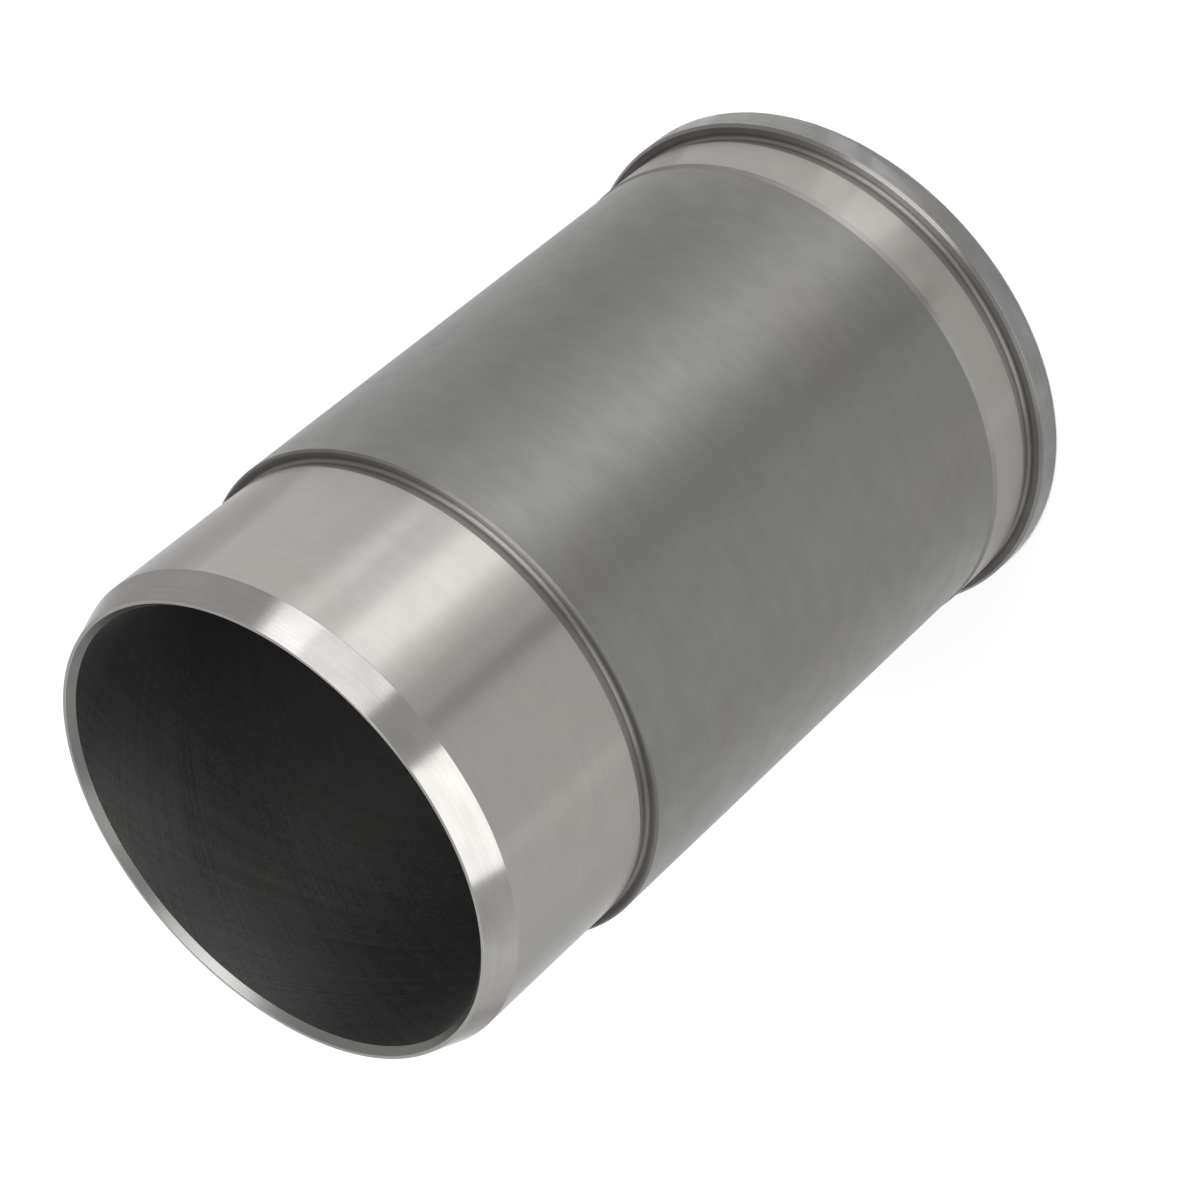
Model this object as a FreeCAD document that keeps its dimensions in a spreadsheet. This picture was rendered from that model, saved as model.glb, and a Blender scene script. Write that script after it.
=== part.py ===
# Flanged cylinder liner, turned from one spun-cast iron tube.
#
# Millimetres, +Z up along the bore. The origin is the centre of the flange's gasket face, on which the
# liner stands, so the lower pilot that enters the block first points up.
#
# From the bottom: flange, ground upper band, turned body, ground lower pilot with its long lead-in.
# A relief is turned into each inside corner, under the flange and at the pilot's shoulder, so that the
# mating edges of the block seat squarely.

import FreeCAD, Part
import math
import os

import Sketcher

# Driving dimensions, in millimetres and degrees
DIMENSIONS = (
    ("bore_diameter", 100.0, "honed bore that the piston runs in"),
    ("pilot_wall", 4.5, "wall from the bore to the ground lower pilot"),
    ("shoulder_step", 2.0, "radial step from the pilot up to the body"),
    ("band_rise", 0.35, "how far the ground upper band stands above the turned body"),
    ("flange_overhang", 2.4, "radial step from the upper band to the flange"),
    ("overall_length", 185.0, "gasket face to pilot end"),
    ("pilot_length", 47.4, "pilot end to the shoulder face"),
    ("band_length", 14.5, "flange seat to the foot of the band's ramp"),
    ("flange_thickness", 6.0, "gasket face to flange seat"),
    ("band_ramp_angle", 16.5, "ramp between body and band, from the axis"),
    ("lead_in_length", 7.0, "outer lead-in that eases the seals into the block"),
    ("end_land", 0.7, "flat ring left on the pilot end"),
    ("bore_entry_width", 1.3, "radial width of the bore's entry chamfer at the pilot end"),
    ("bore_entry_length", 1.5, "length of the same chamfer along the bore"),
    ("shoulder_edge_break", 0.45, "chamfer on the shoulder's outer edge"),
    ("seat_edge_break", 0.65, "chamfer on the flange's outer edge, at the seat"),
    ("gasket_edge_break", 0.3, "chamfer on the flange's outer edge, at the gasket face"),
    ("bore_edge_break", 0.5, "chamfer on the bore's edge, at the gasket face"),
    ("relief_radius", 0.8, "nose radius of the tool that turns both reliefs"),
    ("relief_exit_angle", 20.0, "slope at which a relief runs out onto its face"),
    ("shoulder_relief_width", 2.8, "relief at the shoulder, measured along the pilot"),
    ("shoulder_relief_depth", 0.8, "its depth below the pilot"),
    ("shoulder_relief_bite", 0.35, "how far it bites into the shoulder face"),
    ("flange_relief_width", 3.35, "relief under the flange, measured along the band"),
    ("flange_relief_depth", 1.0, "its depth below the band"),
    ("flange_relief_bite", 0.2, "how far it bites into the flange seat"),
)

# Radii and heights that follow from them
BORE_RADIUS = "dims.bore_diameter / 2"
PILOT_RADIUS = f"{BORE_RADIUS} + dims.pilot_wall"
BODY_RADIUS = f"{PILOT_RADIUS} + dims.shoulder_step"
BAND_RADIUS = f"{BODY_RADIUS} + dims.band_rise"
FLANGE_RADIUS = f"{BAND_RADIUS} + dims.flange_overhang"
LAND_RADIUS = f"{BORE_RADIUS} + dims.bore_entry_width + dims.end_land"
PILOT_END = "dims.overall_length"
SHOULDER_FACE = "dims.overall_length - dims.pilot_length"
FLANGE_SEAT = "dims.flange_thickness"
GASKET_FACE = "0"

START, END, CENTRE = 1, 2, 3  # the points of a sketch line or arc
ORIGIN = (-1, START)  # the sketch's own origin
X_AXIS = -1
FULL_TURN = 360.0
SAME_PLACE = 1e-4  # mm, below which two radii or heights are one


def make_dimension_sheet(doc):
    """Write every driving dimension to a spreadsheet, where it can be changed by name."""
    sheet = doc.addObject("Spreadsheet::Sheet", "dims")
    for row, (alias, size, meaning) in enumerate(DIMENSIONS, start=1):
        sheet.set(f"A{row}", alias)
        sheet.set(f"B{row}", str(size))
        sheet.set(f"C{row}", meaning)
        sheet.setAlias(f"B{row}", alias)
    doc.recompute()
    return sheet


def evaluate(body, expression):
    """The present value of an expression on the sheet, in millimetres or degrees."""
    return float(body.evalExpression(expression))


def origin_feature(body, role):
    """One of the body's own origin planes or axes."""
    return next(f for f in body.Origin.OriginFeatures if f.Role == role)


def half_section_sketch(body, name):
    """An empty sketch on the body's XZ plane: sketch X is the radius and sketch Y the height."""
    sketch = body.newObject("Sketcher::SketchObject", name)
    sketch.AttachmentSupport = [(origin_feature(body, "XZ_Plane"), "")]
    sketch.MapMode = "FlatFace"
    return sketch


def draw_lines(sketch, corners):
    """Join the corners by lines in order and return the index of each line."""
    points = [FreeCAD.Vector(radius, height, 0) for radius, height in corners]
    lines = [Part.LineSegment(a, b) for a, b in zip(points, points[1:])]
    return sketch.addGeometry(lines, False)


def dimension(sketch, kind, name, *places, expression=None):
    """Add a named dimension between places and bind it to the sheet, by its own name if no other is given."""
    formula = expression or f"dims.{name}"
    flat = [number for place in places for number in place]
    now = evaluate(sketch, formula)
    if kind == "Angle":
        formula = f"({formula}) * 1 deg"
        now = math.radians(now)
    index = sketch.addConstraint(Sketcher.Constraint(kind, *flat, now))
    sketch.renameConstraint(index, name)
    sketch.setExpression(f"Constraints.{name}", formula)


def draw_half_section(body):
    """Half section of the liner, with its steps, the band's ramp and both chamfers of the pilot end."""
    sketch = half_section_sketch(body, "half_section")
    bore, pilot, land = (evaluate(body, e) for e in (BORE_RADIUS, PILOT_RADIUS, LAND_RADIUS))
    turned, band, flange = (evaluate(body, e) for e in (BODY_RADIUS, BAND_RADIUS, FLANGE_RADIUS))
    top, shoulder, seat = (evaluate(body, e) for e in (PILOT_END, SHOULDER_FACE, FLANGE_SEAT))
    ramp_foot = seat + evaluate(body, "dims.band_length")
    ramp = (band - turned) / math.tan(math.radians(evaluate(body, "dims.band_ramp_angle")))
    entry = land - evaluate(body, "dims.end_land")
    lead_in = top - evaluate(body, "dims.lead_in_length")
    bore_end = top - evaluate(body, "dims.bore_entry_length")
    outline = [
        (bore, 0), (flange, 0), (flange, seat), (band, seat), (band, ramp_foot - ramp), (turned, ramp_foot),
        (turned, shoulder), (pilot, shoulder), (pilot, lead_in), (land, top), (entry, top), (bore, bore_end),
        (bore, 0),
    ]
    (gasket_line, flange_line, seat_line, band_line, ramp_line, body_line, shoulder_line, pilot_line,
     lead_in_line, land_line, entry_line, bore_line) = lines = draw_lines(sketch, outline)

    for line, following in zip(lines, lines[1:] + lines[:1]):
        sketch.addConstraint(Sketcher.Constraint("Coincident", line, END, following, START))
    for line in (seat_line, shoulder_line, land_line):
        sketch.addConstraint(Sketcher.Constraint("Horizontal", line))
    for line in (flange_line, band_line, body_line, pilot_line, bore_line):
        sketch.addConstraint(Sketcher.Constraint("Vertical", line))
    for point in (START, END):
        sketch.addConstraint(Sketcher.Constraint("PointOnObject", gasket_line, point, X_AXIS))

    across = (
        ("bore_radius", ORIGIN, (bore_line, END), BORE_RADIUS),
        ("pilot_wall", (bore_line, START), (pilot_line, START), None),
        ("shoulder_step", (pilot_line, START), (body_line, END), None),
        ("band_rise", (ramp_line, END), (ramp_line, START), None),
        ("flange_overhang", (band_line, START), (flange_line, END), None),
        ("end_land", (land_line, END), (land_line, START), None),
        ("bore_entry_width", (entry_line, END), (entry_line, START), None),
    )
    for name, inner, outer, expression in across:
        dimension(sketch, "DistanceX", name, inner, outer, expression=expression)
    along = (
        ("overall_length", (gasket_line, START), (land_line, END)),
        ("pilot_length", (shoulder_line, END), (land_line, START)),
        ("band_length", (seat_line, END), (ramp_line, END)),
        ("flange_thickness", (flange_line, START), (flange_line, END)),
        ("lead_in_length", (lead_in_line, START), (lead_in_line, END)),
        ("bore_entry_length", (entry_line, END), (entry_line, START)),
    )
    for name, lower, upper in along:
        dimension(sketch, "DistanceY", name, lower, upper)
    dimension(sketch, "Angle", "band_ramp_angle", (ramp_line, START), (band_line, END),
              expression="180 - dims.band_ramp_angle")
    return sketch


def draw_relief(body, name, cylinder, face, prefix):
    """Section of a corner relief: it runs down from the cylinder, round the tool's nose and out onto the face."""
    sketch = half_section_sketch(body, name)
    nose_radius = "dims.relief_radius"
    nose_across = f"{cylinder} - dims.{prefix}_relief_depth + {nose_radius}"
    nose_height = f"{face} - dims.{prefix}_relief_bite + {nose_radius}"
    radius = evaluate(body, nose_radius)
    nose = FreeCAD.Vector(evaluate(body, nose_across), evaluate(body, nose_height), 0)
    face_height = evaluate(body, face)
    run_in = FreeCAD.Vector(evaluate(body, cylinder), face_height, 0)
    run_in.y += evaluate(body, f"dims.{prefix}_relief_width")
    exit_angle = math.radians(evaluate(body, "dims.relief_exit_angle"))

    # The run-in touches the nose on its bore side; the run-out leaves it at the exit angle
    to_run_in = run_in - nose
    bearing = math.atan2(to_run_in.y, to_run_in.x)
    first_angle = bearing + math.acos(radius / to_run_in.Length)
    last_angle = 1.5 * math.pi + exit_angle
    first, last = (
        nose + FreeCAD.Vector(radius * math.cos(angle), radius * math.sin(angle), 0)
        for angle in (first_angle, last_angle)
    )
    run_out = FreeCAD.Vector(last.x + (face_height - last.y) / math.tan(exit_angle), face_height, 0)
    arc_circle = Part.Circle(nose, FreeCAD.Vector(0, 0, 1), radius)
    run_in_line, arc, run_out_line, mouth_line = sketch.addGeometry([
        Part.LineSegment(run_in, first),
        Part.ArcOfCircle(arc_circle, first_angle, last_angle),
        Part.LineSegment(last, run_out),
        Part.LineSegment(run_out, run_in),
    ], False)
    sketch.addConstraint([
        Sketcher.Constraint("Tangent", run_in_line, END, arc, START),
        Sketcher.Constraint("Tangent", arc, END, run_out_line, START),
        Sketcher.Constraint("Coincident", run_out_line, END, mouth_line, START),
        Sketcher.Constraint("Coincident", mouth_line, END, run_in_line, START),
    ])
    dimension(sketch, "Radius", "nose_radius", (arc,), expression=nose_radius)
    dimension(sketch, "DistanceX", "nose_across", ORIGIN, (arc, CENTRE), expression=nose_across)
    dimension(sketch, "DistanceY", "nose_height", ORIGIN, (arc, CENTRE), expression=nose_height)
    dimension(sketch, "DistanceX", "cylinder", ORIGIN, (run_in_line, START), expression=cylinder)
    dimension(sketch, "DistanceY", "face", ORIGIN, (run_out_line, END), expression=face)
    dimension(sketch, "DistanceY", "width", (run_out_line, END), (run_in_line, START),
              expression=f"dims.{prefix}_relief_width")
    dimension(sketch, "Angle", "exit_angle", (run_out_line,), expression="dims.relief_exit_angle")
    return sketch


def turn(body, kind, name, sketch):
    """Revolve a half section about the bore axis, adding or removing material."""
    feature = body.newObject(kind, name)
    feature.Profile = sketch
    feature.ReferenceAxis = (origin_feature(body, "Z_Axis"), [""])
    feature.Angle = FULL_TURN
    body.Tip = feature
    body.Document.recompute()
    return feature


def ring_edges(shape, radius, height):
    """Names of the circular edges of this radius at this height."""
    names = []
    for number, edge in enumerate(shape.Edges, start=1):
        circle = edge.Curve
        if not isinstance(circle, Part.Circle):
            continue
        if abs(circle.Radius - radius) < SAME_PLACE and abs(circle.Center.z - height) < SAME_PLACE:
            names.append(f"Edge{number}")
    return names


def break_edge(body, name, radius, height):
    """Chamfer one turned edge by the size of the same name."""
    base = body.Tip
    edges = ring_edges(base.Shape, evaluate(body, radius), evaluate(body, height))
    if not edges:
        raise RuntimeError(f"{name}: no edge found")
    chamfer = body.newObject("PartDesign::Chamfer", name)
    chamfer.Base = (base, edges)
    chamfer.setExpression("Size", f"dims.{name}")
    body.Tip = chamfer
    body.Document.recompute()
    check_it_cuts(base, chamfer)


def check_it_cuts(before, after):
    """A cut that points away from the solid leaves its volume as it was."""
    if after.Shape.Volume >= before.Shape.Volume:
        raise RuntimeError(f"{after.Name} removed nothing")


def cut_relief(body, name, cylinder, face, prefix):
    """Turn a relief into the corner between a cylinder and the face at its foot."""
    before = body.Tip
    sketch = draw_relief(body, f"{name}_section", cylinder, face, prefix)
    groove = turn(body, "PartDesign::Groove", name, sketch)
    check_it_cuts(before, groove)


def make_cylinder_liner(doc):
    """The whole liner: one turned solid."""
    body = doc.addObject("PartDesign::Body", "cylinder_liner")
    body.Label = "cylinder_liner"
    turn(body, "PartDesign::Revolution", "turned_tube", draw_half_section(body))
    break_edge(body, "shoulder_edge_break", BODY_RADIUS, SHOULDER_FACE)
    break_edge(body, "seat_edge_break", FLANGE_RADIUS, FLANGE_SEAT)
    break_edge(body, "gasket_edge_break", FLANGE_RADIUS, GASKET_FACE)
    break_edge(body, "bore_edge_break", BORE_RADIUS, GASKET_FACE)
    cut_relief(body, "shoulder_relief", PILOT_RADIUS, SHOULDER_FACE, "shoulder")
    cut_relief(body, "flange_relief", BAND_RADIUS, FLANGE_SEAT, "flange")
    body.Placement = FreeCAD.Placement()
    return body


def check_document(doc, bodies):
    """Stop if any object failed to build or any sub-part isn't one valid solid."""
    for item in doc.Objects:
        if {"Invalid", "Error"} & set(item.State):
            raise RuntimeError(f"{item.Name}: {item.State}")
    for body in bodies:
        if body.Shape.isNull() or not body.Shape.isValid() or len(body.Shape.Solids) != 1:
            raise RuntimeError(f"{body.Label} is not one valid solid")


def main():
    doc = FreeCAD.newDocument("cylinder_liner_model")
    make_dimension_sheet(doc)
    bodies = [make_cylinder_liner(doc)]
    doc.recompute()
    check_document(doc, bodies)
    os.makedirs("parts", exist_ok=True)
    for body in bodies:
        body.Shape.exportStep(os.path.join("parts", f"{body.Label}.step"))
        box = body.Shape.BoundBox
        print(f"{body.Label}: {box.XLength:.2f} x {box.YLength:.2f} x {box.ZLength:.2f} mm, "
              f"{body.Shape.Volume / 1000:.1f} cm3, {len(body.Shape.Faces)} faces")


main()
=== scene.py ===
import math

import bpy
from mathutils import Matrix, Vector


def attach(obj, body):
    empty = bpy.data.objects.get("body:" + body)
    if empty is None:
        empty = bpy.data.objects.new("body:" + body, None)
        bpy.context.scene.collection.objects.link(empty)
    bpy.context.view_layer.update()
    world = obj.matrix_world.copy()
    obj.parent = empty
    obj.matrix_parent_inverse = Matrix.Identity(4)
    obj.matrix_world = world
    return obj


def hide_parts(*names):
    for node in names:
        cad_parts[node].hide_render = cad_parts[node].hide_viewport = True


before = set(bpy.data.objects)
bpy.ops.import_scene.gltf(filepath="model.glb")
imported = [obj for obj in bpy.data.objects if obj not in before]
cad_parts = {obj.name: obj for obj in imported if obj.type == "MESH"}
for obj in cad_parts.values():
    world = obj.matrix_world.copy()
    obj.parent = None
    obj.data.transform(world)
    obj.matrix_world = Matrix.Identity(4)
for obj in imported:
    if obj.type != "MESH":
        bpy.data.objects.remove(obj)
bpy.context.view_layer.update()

MM = 0.001
FULL_TURN = 2 * math.pi

# ---- The camera, where the photograph was taken from: above the pilot end, and rolled ----
CAMERA_PLACE = (-7.74, -644.17, 577.42)  # mm
CAMERA_LOOKS_DOWN = 37.165  # degrees below the horizon
CAMERA_ROLL = -131.039  # degrees about its own line of sight
CAMERA_LENS = 119.296  # mm
CAMERA_SENSOR = 36.0  # mm, and square as the picture is

# ---- The liner's half section, from the foot of the bore round to it again ----
# A corner is its height and radius in mm and the finish of the face that leads to it. A relief is
# the nose of the tool that cut it: its centre, its first and last touch, the finish of the flank
# that leads to it, and its own.
BORE_RADIUS = 50.0
BORE_FOOT = (0.5, BORE_RADIUS)
NOSE_RADIUS = 0.8
NOSE_STEPS = 16
SECTION = [
    (183.5, BORE_RADIUS, "honed"),
    (185.0, 51.3, "chamfered"),
    (185.0, 52.0, "faced"),
    (178.0, 54.5, "lead_in"),
    (140.4, 54.5, "ground"),
    ("nose", (138.05, 54.5), (138.3223, 53.7478), (137.2982, 54.7736), "relieved", "nose"),
    (137.6, 55.6027, "relieved"),
    (137.6, 56.05, "relieved"),
    (137.15, 56.5, "broken_edge"),
    (20.5, 56.5, "turned"),
    (19.3184, 56.85, "ramp"),
    (9.35, 56.85, "band"),
    ("nose", (6.6, 56.65), (6.887, 55.9033), (5.8482, 56.9236), "relieved", "nose"),
    (6.0, 57.3406, "relieved"),
    (6.0, 58.6, "relieved"),
    (5.35, 59.225, "seat_edge"),
    (0.3, 59.225, "rim"),
    (0.0, 58.95, "chamfered"),
    (0.0, 50.5, "faced"),
    (*BORE_FOOT, "chamfered"),
]
SEGMENTS = 360
SAME_POINT = 0.002  # mm, within which the first and last rings are joined
EDGE_ROUNDING = 0.07  # mm, what is left of a turned edge once it is deburred
SHARP = 13  # degrees: a corner that turns by more than this is an edge


# ---- Colours and nodes ----
def linear(code):
    """An sRGB hex colour as linear red, green, blue and alpha."""
    shares = [int(code[i:i + 2], 16) / 255 for i in (1, 3, 5)]
    return tuple(c / 12.92 if c <= 0.04045 else ((c + 0.055) / 1.055) ** 2.4
                 for c in shares) + (1.0,)


def node(tree, kind, inputs=None, **settings):
    """Add a node, give it its settings, and set or link its inputs."""
    made = tree.nodes.new(kind)
    for name, value in settings.items():
        setattr(made, name, value)
    for name, value in (inputs or {}).items():
        if isinstance(value, bpy.types.NodeSocket):
            tree.links.new(value, made.inputs[name])
        else:
            made.inputs[name].default_value = value
    return made


def empty_tree(owner):
    """The node tree of a material or world, with nothing in it yet."""
    owner.use_nodes = True
    owner.node_tree.nodes.clear()
    return owner.node_tree


# ---- How each face was cut ----
ROUND_DRIFT = 0.03  # times a mm that a turned mark changes on its way round: it looks unbroken
STROKE_CLIMB = math.radians(25)  # of the hone's strokes, both ways
STROKE_DRIFT = 0.04  # times a mm that a stroke changes as it climbs
PATCH = 5  # mm, the small patches in which a face is a little lighter or darker
PATCH_STRETCH = (0.75, 0.75, 1)  # they are longer round the liner than along it
WANDER = 30  # mm, over which a face goes from its colour to its tint
GRAIN = {"Scale": 1.0, "Detail": 3.0, "Roughness": 0.6}  # of the noise that draws the marks
NOISE_LOW, NOISE_HIGH = 0.35, 0.65  # most of a noise lies between these
PATCH_LOW, PATCH_HIGH = 0.3, 0.7  # and nearly all of it between these
ACROSS = 0.25  # of a turn: a highlight is drawn out across the marks
OIL_ROUGHNESS = 0.35


def turning_marks(tree, split, flat, pitch):
    """Marks that run right round: they change fast along the section and slowly round it."""
    radius = node(tree, "ShaderNodeVectorMath", {0: flat}, operation="LENGTH").outputs["Value"]
    # Height less radius grows steadily along a wall, and along an end face too
    along = node(tree, "ShaderNodeMath", {
        0: split["Z"], 1: radius}, operation="SUBTRACT").outputs[0]
    scales = {"X": (split["X"], ROUND_DRIFT), "Y": (split["Y"], ROUND_DRIFT),
              "Z": (along, 1 / pitch)}
    lines = node(tree, "ShaderNodeCombineXYZ", {
        axis: node(tree, "ShaderNodeMath", {0: length, 1: scale}, operation="MULTIPLY").outputs[0]
        for axis, (length, scale) in scales.items()}).outputs[0]
    return node(tree, "ShaderNodeTexNoise", {"Vector": lines, **GRAIN}).outputs[0]


def hone_strokes(tree, in_mm, split, flat, pitch):
    """Crossed strokes. Each climbs as it goes round: unwound by its climb, it is a point on a
    circle."""
    strokes = []
    for way in (1, -1):
        turn = way / (BORE_RADIUS * math.tan(STROKE_CLIMB))
        climb = node(tree, "ShaderNodeMath", {
            0: split["Z"], 1: turn}, operation="MULTIPLY").outputs[0]
        unwound = node(tree, "ShaderNodeVectorRotate", {
            "Vector": flat, "Angle": climb}, rotation_type="Z_AXIS").outputs[0]
        drift = node(tree, "ShaderNodeVectorMath", {
            0: in_mm, 1: (0, 0, STROKE_DRIFT)}, operation="MULTIPLY").outputs[0]
        close = node(tree, "ShaderNodeVectorMath", {
            0: unwound, "Scale": 1 / pitch}, operation="SCALE").outputs[0]
        point = node(tree, "ShaderNodeVectorMath", {0: close, 1: drift}, operation="ADD").outputs[0]
        strokes.append(node(tree, "ShaderNodeTexNoise", {"Vector": point, **GRAIN}).outputs[0])
    both = node(tree, "ShaderNodeMath", {
        0: strokes[0], 1: strokes[1]}, operation="ADD").outputs[0]
    return node(tree, "ShaderNodeMath", {0: both, 1: 0.5}, operation="MULTIPLY").outputs[0]


def finish(name, colour, tint, roughness, anisotropy, pitch, depth, uneven=0.04, edge="#ffffff",
           oil=0.0, honed=False):
    """A cut finish on cast iron, which wanders from its colour to its tint. pitch and depth are
    of its tool marks, in mm, and uneven is how strongly the marks and the patches shade it. edge
    is its tint at a glancing view, and oil the share of it that a thin film of oil covers. honed
    crosses its marks, as a hone does."""
    material = bpy.data.materials.new(name)
    tree = empty_tree(material)
    place = node(tree, "ShaderNodeTexCoord").outputs["Object"]
    in_mm = node(tree, "ShaderNodeVectorMath", {
        0: place, "Scale": 1 / MM}, operation="SCALE").outputs[0]
    split = node(tree, "ShaderNodeSeparateXYZ", {0: in_mm}).outputs
    flat = node(tree, "ShaderNodeVectorMath", {
        0: in_mm, 1: (1, 1, 0)}, operation="MULTIPLY").outputs[0]
    if honed:
        marks = patches = hone_strokes(tree, in_mm, split, flat, pitch)
    else:
        marks = turning_marks(tree, split, flat, pitch)
        drawn = node(tree, "ShaderNodeVectorMath", {
            0: in_mm, 1: PATCH_STRETCH}, operation="MULTIPLY").outputs[0]
        patches = node(tree, "ShaderNodeTexNoise", {
            "Vector": drawn, "Scale": 1 / PATCH, "Detail": 4.0}).outputs[0]

    wander = node(tree, "ShaderNodeTexNoise", {
        "Vector": in_mm, "Scale": 1 / WANDER, "Detail": 1.0}).outputs[0]
    wander = node(tree, "ShaderNodeMapRange", {
        0: wander, "From Min": NOISE_LOW, "From Max": NOISE_HIGH}).outputs[0]
    hue = node(tree, "ShaderNodeMix", {
        "Factor": wander, "A": linear(colour), "B": linear(tint)},
        data_type="RGBA").outputs["Result"]
    shade = node(tree, "ShaderNodeMath", {0: marks, 1: patches}, operation="ADD").outputs[0]
    shade = node(tree, "ShaderNodeMapRange", {
        0: shade, "From Min": 2 * NOISE_LOW, "From Max": 2 * NOISE_HIGH,
        "To Min": 1 - uneven, "To Max": 1 + uneven}).outputs[0]
    base = node(tree, "ShaderNodeVectorMath", {
        0: hue, "Scale": shade}, operation="SCALE").outputs[0]
    # A lighter patch is a smoother one
    rough = node(tree, "ShaderNodeMapRange", {
        0: patches, "From Min": PATCH_LOW, "From Max": PATCH_HIGH,
        "To Min": roughness * (1 + uneven), "To Max": roughness * (1 - uneven)}).outputs[0]
    bump = node(tree, "ShaderNodeBump", {
        "Height": marks, "Strength": 1.0, "Distance": depth * MM}).outputs[0]
    tangent = node(tree, "ShaderNodeTangent", direction_type="RADIAL", axis="Z").outputs[0]
    shader = node(tree, "ShaderNodeBsdfPrincipled", {
        "Base Color": base, "Metallic": 1.0, "Roughness": rough, "Specular Tint": linear(edge),
        "Anisotropic": anisotropy, "Anisotropic Rotation": ACROSS,
        "Coat Weight": oil, "Coat Roughness": OIL_ROUGHNESS, "Normal": bump, "Tangent": tangent})
    node(tree, "ShaderNodeOutputMaterial", {"Surface": shader.outputs[0]})
    return material


# Grey cast iron, whose graphite keeps it darker than steel. What differs is how each face was cut.
# The numbers are roughness, anisotropy, and the pitch and depth of the tool marks in mm, then how
# uneven it is. Turning marks are really some 0.2 mm apart and grinding marks far closer, and both
# are drawn coarser so that they show.
FINISHES = {
    # cylindrical grinding: smooth and bright, with a long soft highlight and a faint warm stain
    "ground": finish("ground_iron_pilot", "#8a8683", "#888784", 0.25, 0.75, 0.5, 0.0002, 0.035,
                     edge="#e4e4e4"),
    # ground as well, with a drier wheel: a little lighter, and its highlight is wider
    "band": finish("ground_iron_band", "#8a8984", "#8b8885", 0.31, 0.72, 0.5, 0.0002, 0.035,
                   edge="#e4e4e4"),
    # turned with a fine feed: matt and darker, with fine marks, under a film of oil against rust
    "turned": finish("turned_iron_body", "#656564", "#666563", 0.46, 0.65, 0.6, 0.0020, 0.06,
                     oil=0.3),
    # turned and polished, so that the seals slide over it: the brightest face, with fine lines
    # in its highlights
    "lead_in": finish("polished_iron_lead_in", "#878685", "#888683", 0.17, 0.5, 0.4, 0.0012, 0.08,
                      edge="#d4d4d4"),
    # turned and oiled as the body is, with coarser marks that streak it
    "rim": finish("turned_iron_rim", "#727272", "#737270", 0.48, 0.6, 0.5, 0.0025, 0.14, oil=0.3),
    # the coarser cut of the reliefs' faces throws the light out across its marks, and looks dull
    "relieved": finish("turned_iron_relief", "#6e6c6a", "#6d6b69", 0.58, 0.9, 0.3, 0.0015, 0.08),
    # the round of the tool's nose cuts cleaner, so a thin bright line runs along each relief
    "nose": finish("turned_iron_nose", "#757371", "#747270", 0.44, 0.82, 0.3, 0.0010),
    # faced square across with a slow feed: light, and bright where it faces a lamp
    "faced": finish("faced_iron_end", "#979693", "#979693", 0.34, 0.72, 0.3, 0.0010),
    # edges cut with the tool's flank. Those of the bore and the foot are smooth, and the
    # shoulder's is duller. The seat's is the smoothest, a thin line of light round the flange
    "chamfered": finish("chamfered_iron_edge", "#706f6d", "#706f6d", 0.30, 0.6, 0.3, 0.0010),
    "broken_edge": finish("broken_iron_edge", "#666562", "#666562", 0.48, 0.6, 0.3, 0.0010),
    "seat_edge": finish("bright_iron_edge", "#6e6d6b", "#6e6d6b", 0.24, 0.5, 0.3, 0.0005),
    # ground in one pass with the band, but slanted, so that it shows as a thin darker line
    # its colour is also painted darker than the band's: painted shade for the slant
    "ramp": finish("ground_iron_ramp_painted_shade", "#7c7a77", "#7c7a77", 0.30, 0.7, 0.3, 0.0003,
                   edge="#c0c0c0"),
    # honed: fine crossed strokes on a smooth grey that is dark in the depth of the bore. Real
    # strokes are some 0.1 mm apart, and these are drawn coarser so that they show
    "honed": finish("honed_iron_bore", "#777776", "#767674", 0.42, 0.4, 1.3, 0.0030, 0.22,
                    honed=True),
}


# ---- The liner, turned ring by ring from the foot of its bore ----
def nose_rings(centre, first, last, name):
    """Rings round a relief's nose, from its first touch to its last, by the bore side."""
    height, radius = centre
    start = math.atan2(first[0] - height, first[1] - radius)
    end = math.atan2(last[0] - height, last[1] - radius)
    if end < start:
        end += FULL_TURN
    for step in range(1, NOSE_STEPS + 1):
        angle = start + (end - start) * step / NOSE_STEPS
        yield height + NOSE_RADIUS * math.sin(angle), radius + NOSE_RADIUS * math.cos(angle), name


def rings():
    """Every ring of the section: its height and radius, and the finish of the face before it."""
    for item in SECTION:
        if item[0] == "nose":
            centre, first, last, flank, name = item[1:]
            yield (*first, flank)
            yield from nose_rings(centre, first, last, name)
        else:
            yield item


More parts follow.
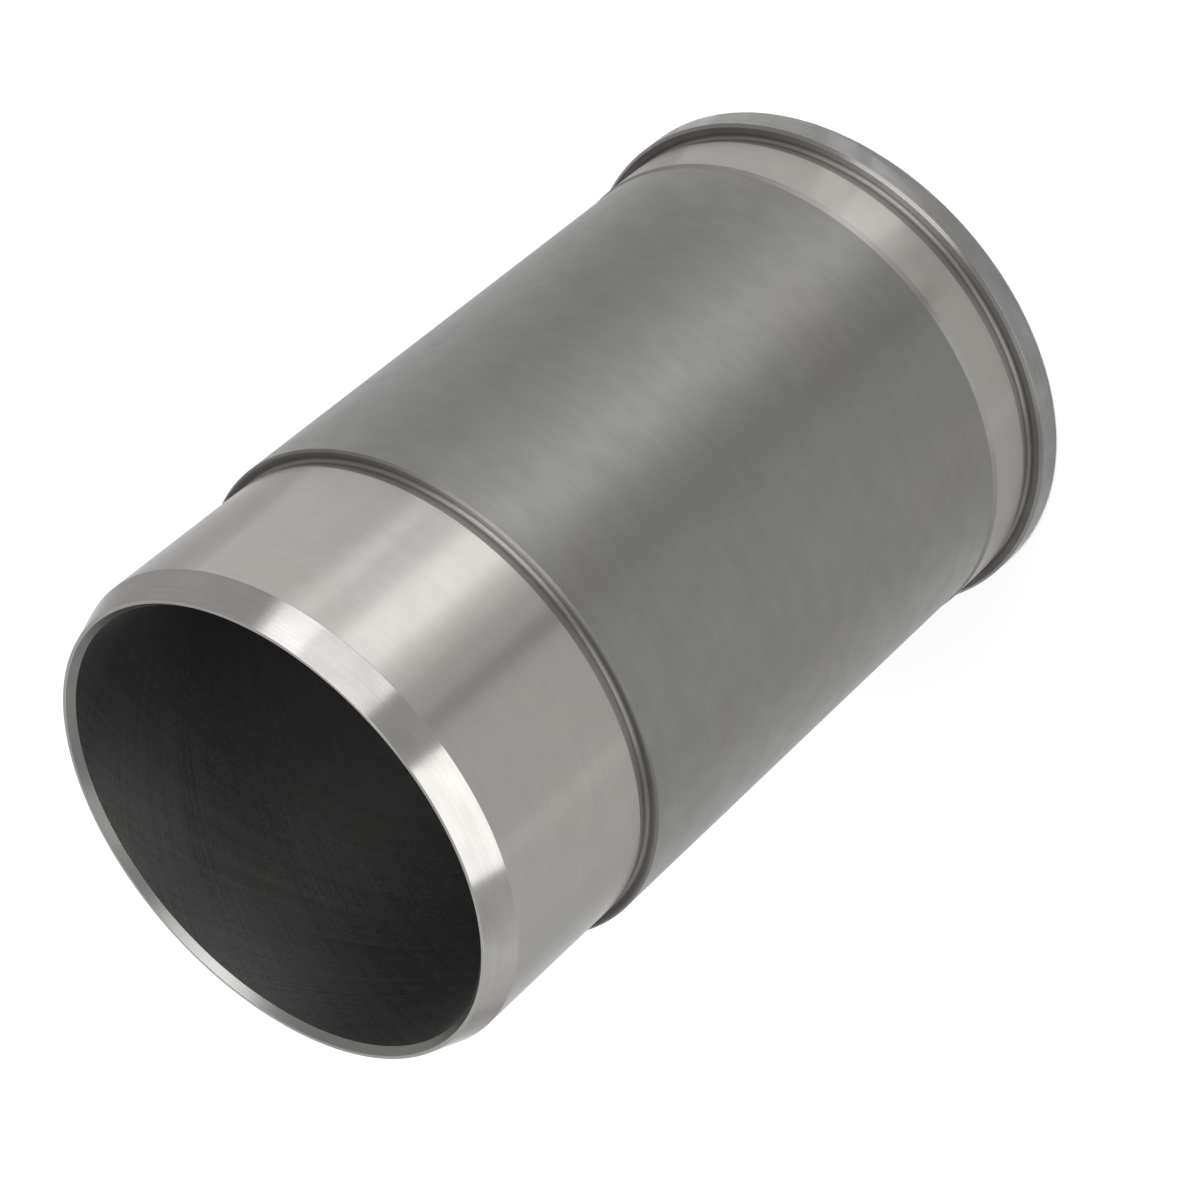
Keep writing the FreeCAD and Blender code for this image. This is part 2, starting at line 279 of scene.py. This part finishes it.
def turn_liner():
    bpy.ops.object.select_all(action="DESELECT")
    height, radius = BORE_FOOT
    bpy.ops.mesh.primitive_circle_add(vertices=SEGMENTS, radius=radius * MM, location=(0, 0, 0))
    liner = bpy.context.active_object
    liner.name = liner.data.name = "turned_liner"
    order = list(FINISHES)
    for name in order:
        liner.data.materials.append(FINISHES[name])
    bpy.ops.object.mode_set(mode="EDIT")
    bpy.ops.transform.translate(value=(0, 0, height * MM))
    for new_height, new_radius, _ in rings():
        rise = (0, 0, (new_height - height) * MM)
        bpy.ops.mesh.extrude_region_move(TRANSFORM_OT_translate={"value": rise})
        share = new_radius / radius
        bpy.ops.transform.resize(value=(share, share, 1), center_override=(0, 0, new_height * MM))
        height, radius = new_height, new_radius
    bpy.ops.mesh.select_all(action="SELECT")
    bpy.ops.mesh.remove_doubles(threshold=SAME_POINT * MM)
    bpy.ops.mesh.normals_make_consistent(inside=False)
    bpy.ops.object.mode_set(mode="OBJECT")
    # The faces lie in the order in which they were extruded, a ring at a time
    cuts = [order.index(name) for _, _, name in rings()]
    for face in liner.data.polygons:
        face.material_index = cuts[face.index // SEGMENTS]

    rounded = liner.modifiers.new("deburred", "BEVEL")
    rounded.width, rounded.segments = EDGE_ROUNDING * MM, 2
    rounded.limit_method, rounded.angle_limit = "ANGLE", math.radians(SHARP)
    even = liner.modifiers.new("even_shading", "WEIGHTED_NORMAL")
    bpy.ops.object.shade_smooth()
    for modifier in (rounded, even):
        bpy.ops.object.modifier_apply(modifier=modifier.name)
    return liner


liner = turn_liner()
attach(liner, "root")
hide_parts("cylinder_liner")


# ---- Floor, surround and lamps ----
FOOTPRINT = 59.5  # mm, just past the flange
FLOOR_SIZE = 12.0  # m
FLOOR_GLOW = 0.75  # share of the floor's white that no shadow dims
ROOM_GLOW = 0.95  # of white
WALL = 57  # mm, about the radius of the upright walls, which mirror what lies on the floor
FLAG_HEIGHT = 0.15  # mm
LIT_POINT = Vector((0, 0, 120)) * MM  # what the softboxes are turned towards
FAN_FOOT = 0.5  # a low fan's share of its brightness at the wall
FAN_RISE = 320  # mm further out, over which the whole of it is added


def lay_floor():
    """A wide sheet of white card. It glows for the lens and for the metal, but not where the
    liner covers it."""
    bpy.ops.object.select_all(action="DESELECT")
    bpy.ops.mesh.primitive_plane_add(size=FLOOR_SIZE, location=(0, 0, 0))
    floor = bpy.context.active_object
    floor.name = "floor"
    material = bpy.data.materials.new("white_card")
    tree = empty_tree(material)
    place = node(tree, "ShaderNodeTexCoord").outputs["Object"]
    reach = node(tree, "ShaderNodeVectorMath", {0: place}, operation="LENGTH").outputs["Value"]
    outside = node(tree, "ShaderNodeMath", {
        0: reach, 1: FOOTPRINT * MM}, operation="GREATER_THAN").outputs[0]
    path = node(tree, "ShaderNodeLightPath").outputs
    seen = node(tree, "ShaderNodeMath", {
        0: path["Is Camera Ray"], 1: path["Is Glossy Ray"]}, operation="MAXIMUM").outputs[0]
    seen = node(tree, "ShaderNodeMath", {
        0: seen, 1: path["Is Transmission Ray"]}, operation="MAXIMUM").outputs[0]
    share = node(tree, "ShaderNodeMath", {0: seen, 1: outside}, operation="MULTIPLY").outputs[0]
    share = node(tree, "ShaderNodeMath", {0: share, 1: FLOOR_GLOW}, operation="MULTIPLY").outputs[0]
    card = node(tree, "ShaderNodeBsdfDiffuse", {"Color": linear("#f4f4f2")}).outputs[0]
    glow = node(tree, "ShaderNodeEmission", {
        "Color": linear("#ffffff"), "Strength": 1.0}).outputs[0]
    mixed = node(tree, "ShaderNodeMixShader", {0: share, 1: card, 2: glow}).outputs[0]
    node(tree, "ShaderNodeOutputMaterial", {"Surface": mixed})
    floor.data.materials.append(material)


def lay_flag(nearest, furthest, first, last):
    """A strip of grey card on the floor, between two azimuths and in mm from the liner's wall.
    Only the metal sees it: it parts the streak from the even light beside it."""
    corners = []
    for turn, reach in ((first, nearest), (first, furthest), (last, furthest), (last, nearest)):
        wall, away = math.radians(turn / 2), math.radians(turn)
        corners.append((WALL * math.sin(wall) + reach * math.sin(away),
                        -WALL * math.cos(wall) - reach * math.cos(away)))
    mesh = bpy.data.meshes.new("grey_flag")
    mesh.from_pydata([(x * MM, y * MM, FLAG_HEIGHT * MM) for x, y in corners], [], [(0, 1, 2, 3)])
    flag = bpy.data.objects.new("grey_flag", mesh)
    bpy.context.scene.collection.objects.link(flag)
    material = bpy.data.materials.new("grey_card")
    tree = empty_tree(material)
    card = node(tree, "ShaderNodeBsdfDiffuse", {"Color": linear("#a6a6a4")}).outputs[0]
    node(tree, "ShaderNodeOutputMaterial", {"Surface": card})
    mesh.materials.append(material)
    flag.visible_camera = flag.visible_shadow = flag.visible_diffuse = False


def light_surround():
    """An even white room: a surface shows in it at about its own colour."""
    world = bpy.data.worlds.new("white_room")
    bpy.context.scene.world = world
    tree = empty_tree(world)
    room = node(tree, "ShaderNodeBackground", {
        "Color": linear("#ffffff"), "Strength": ROOM_GLOW}).outputs[0]
    node(tree, "ShaderNodeOutputWorld", {"Surface": room})


def hang_lamp(name, width, height, brightness):
    """A rectangular lamp that the lens doesn't see. Sides are in m, and brightness 1 is white."""
    lamp = bpy.data.lights.new(name, "AREA")
    lamp.shape, lamp.size, lamp.size_y = "RECTANGLE", width, height
    lamp.energy = brightness * math.pi * lamp.size * lamp.size_y
    holder = bpy.data.objects.new(name, lamp)
    bpy.context.scene.collection.objects.link(holder)
    holder.visible_camera = False
    return holder


def softbox(name, azimuth, elevation, distance, width, height, brightness):
    """A lamp that faces the liner. Azimuth runs from the camera's side towards +X, in degrees."""
    turn, lift = math.radians(azimuth), math.radians(elevation)
    towards = Vector((
        math.sin(turn) * math.cos(lift), -math.cos(turn) * math.cos(lift), math.sin(lift)))
    holder = hang_lamp(name, width, height, brightness)
    holder.location = LIT_POINT + towards * distance
    holder.rotation_euler = towards.to_track_quat("Z", "Y").to_euler()


def low_fan(name, lift, first, last, steps, brightness):
    """Lamps that lie just over the floor and face up, in a fan between two azimuths. The upright
    walls mirror the floor, so a fan shows in them as a streak along the liner. It grows brighter
    towards its outer end, which the pilot mirrors. Fans that overlap lie at heights of their own,
    because a lamp hides another in its plane."""
    middle, spread = math.radians((first + last) / 2), math.radians(last - first)
    wall = Vector((math.sin(middle / 2), -math.cos(middle / 2), 0)) * WALL
    away = Vector((math.sin(middle), -math.cos(middle), 0))
    for step, (nearest, furthest) in enumerate(zip(steps, steps[1:])):
        reach = (nearest + furthest) / 2
        width, depth = (WALL / 2 + reach) * spread * MM, (furthest - nearest) * MM
        growth = FAN_FOOT + reach / FAN_RISE
        holder = hang_lamp(f"{name}_{step}", width, depth, brightness * growth)
        holder.location = (wall + away * reach + Vector((0, 0, lift))) * MM
        holder.rotation_euler = (math.pi, 0, middle)


def set_camera():
    camera = bpy.data.objects.new("camera", bpy.data.cameras.new("camera"))
    bpy.context.scene.collection.objects.link(camera)
    camera.data.sensor_width, camera.data.lens = CAMERA_SENSOR, CAMERA_LENS
    camera.data.clip_start, camera.data.clip_end = 0.05, 50.0
    look = Matrix.Rotation(math.radians(90 - CAMERA_LOOKS_DOWN), 4, "X")
    roll = Matrix.Rotation(math.radians(CAMERA_ROLL), 4, "Z")
    camera.matrix_world = Matrix.Translation(Vector(CAMERA_PLACE) * MM) @ look @ roll
    bpy.context.scene.camera = camera


# azimuth and elevation in degrees, distance, width and height in m, brightness
SOFTBOXES = [
    ("key_softbox", 27, 44, 1.2, 0.94, 0.84, 2.85),  # the body's highlight, and the bore's chamfer
    ("top_softbox", 56, 73, 1.2, 0.50, 0.50, 8.5),  # faces that look up: shoulder, seat and reliefs
    ("back_right_softbox", -138, 44, 1.4, 0.80, 0.50, 1.4),  # the far side of the end land
    ("right_fill", -62, 50, 1.2, 0.51, 0.60, 1.0),  # the right half of the body
    ("left_softbox", 35, 8, 1.5, 1.46, 0.37, 2.2),  # the left streak on the lead-in
    ("left_strip", 54, 8, 1.45, 0.52, 0.36, 1.3),  # the brighter start of that streak
    ("right_softbox", -42.8, 10, 1.5, 1.42, 0.66, 3.15),  # the right streak on the lead-in
    ("right_side_fill", -98, 10, 1.5, 1.75, 0.45, 0.4),  # the grey past its end
]
FAN_STEPS = (2, 32, 110, 230, 400)
# height in mm, first and last azimuth, steps in mm from the wall, brightness
LOW_FANS = [
    ("low_right_fan", 0.3, -64, -14, FAN_STEPS, 0.03),  # the even light right of the dark line
    ("low_right_side_fan", 0.45, -122, -66, FAN_STEPS, 0.15),  # one step lighter, further right
    ("low_right_line", 0.75, -72.5, -68.5, FAN_STEPS, 0.28),  # the thin line between those two
    ("low_far_right_fan", 0.3, -130, -75, (450, 900, 1600), 0.15),  # the lead-in's right side
    ("low_left_fan", 0.6, 60, 120, (185, 260, 400), 0.45),  # the pilot's left side
    ("low_near_left_fan", 0.6, 58, 130, (-14, 32), 0.70),  # the band's and the rim's
    ("low_thin_streak", 0.9, 57, 67, (150, 230, 400), 0.60),  # the thin streak left of the main one
    ("low_wide_streak", 1.2, 12, 58, (4, 25, 60, 110, 190, 400), 0.72),  # the main one's soft sides
    ("low_streak", 1.5, 21, 42, (4, 25, 60, 110, 190, 280, 400), 0.98),  # and its core
]

lay_floor()
lay_flag(20, 420, -13.5, -5)
light_surround()
for settings in SOFTBOXES:
    softbox(*settings)
for settings in LOW_FANS:
    low_fan(*settings)
set_camera()

bpy.context.scene.view_settings.view_transform = "Standard"
